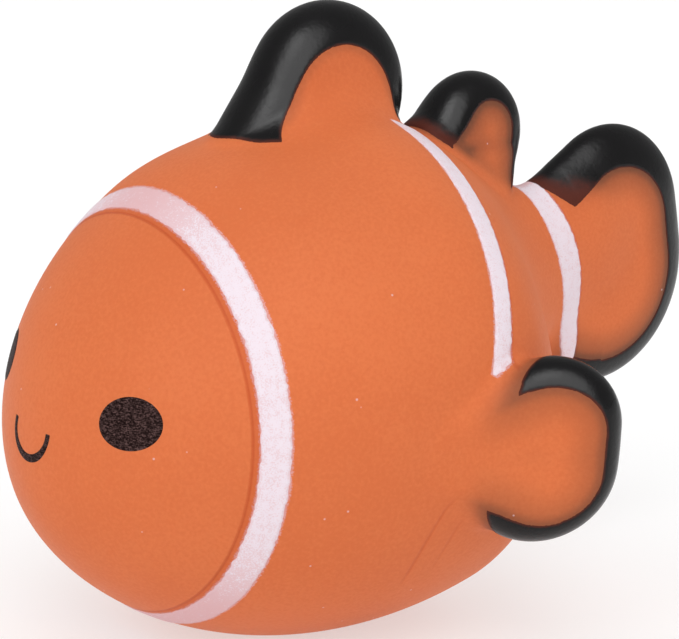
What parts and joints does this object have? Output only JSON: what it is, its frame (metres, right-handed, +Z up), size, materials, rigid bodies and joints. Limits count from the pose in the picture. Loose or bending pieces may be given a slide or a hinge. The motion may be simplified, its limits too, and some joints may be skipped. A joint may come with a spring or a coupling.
{
  "type": "squeaky bath toy",
  "caption": "Chubby soft vinyl fish that stands on its belly; its flanks squeeze inwards and spring back, driving a reed squeaker in the belly.",
  "frame": {"origin": "on the floor, under the middle of the toy's box", "axes": "+X from nose to tail, +Y to the fish's right flank, +Z up"},
  "size_m": [0.0904, 0.07, 0.0664],
  "materials": {
    "orange_vinyl": "satin soft vinyl",
    "black_paint": "glossy spray paint",
    "white_paint": "matte spray paint",
    "black_print": "matte pad print",
    "squeaker_plastic": "natural moulded plastic",
    "reed_brass": "rolled strip"
  },
  "bodies": {
    "body": {"body_shell": "orange_vinyl", "front_dorsal_fin": "orange_vinyl", "rear_dorsal_fin": "orange_vinyl", "tail_fin": "orange_vinyl", "left_pectoral_fin": "orange_vinyl", "right_pectoral_fin": "orange_vinyl", "front_dorsal_margin": "black_paint", "rear_dorsal_margin": "black_paint", "tail_margin": "black_paint", "left_pectoral_margin": "black_paint", "right_pectoral_margin": "black_paint", "head_band": "white_paint", "left_mid_band": "white_paint", "right_mid_band": "white_paint", "tail_band": "white_paint", "left_eye": "black_print", "right_eye": "black_print", "mouth": "black_print", "squeaker_cup": "squeaker_plastic", "reed_seat": "squeaker_plastic", "reed_clip": "squeaker_plastic", "squeaker_lid": "squeaker_plastic"},
    "left_wall": {"left_flank": "orange_vinyl"},
    "right_wall": {"right_flank": "orange_vinyl"},
    "tongue": {"reed": "reed_brass"}
  },
  "joints": [
    {"name": "left_squeeze", "type": "slide", "parent": "body", "child": "left_wall", "axis": [0, 1, 0], "range_m": [0, 0.008], "stiffness_N_per_m": 1500},
    {"name": "right_squeeze", "type": "slide", "parent": "body", "child": "right_wall", "axis": [0, -1, 0], "range_m": [0, 0.008], "stiffness_N_per_m": 1500},
    {"name": "reed_flutter", "type": "hinge", "parent": "body", "child": "tongue", "pos_m": [-0.01253, 0, 0.0051], "axis": [0, -1, 0], "range_deg": [-0.5, 3], "stiffness_Nm_per_rad": 0.0002}
  ],
  "couplings": [
    {"joint": "right_squeeze", "follows": "left_squeeze", "ratio": 1}
  ]
}
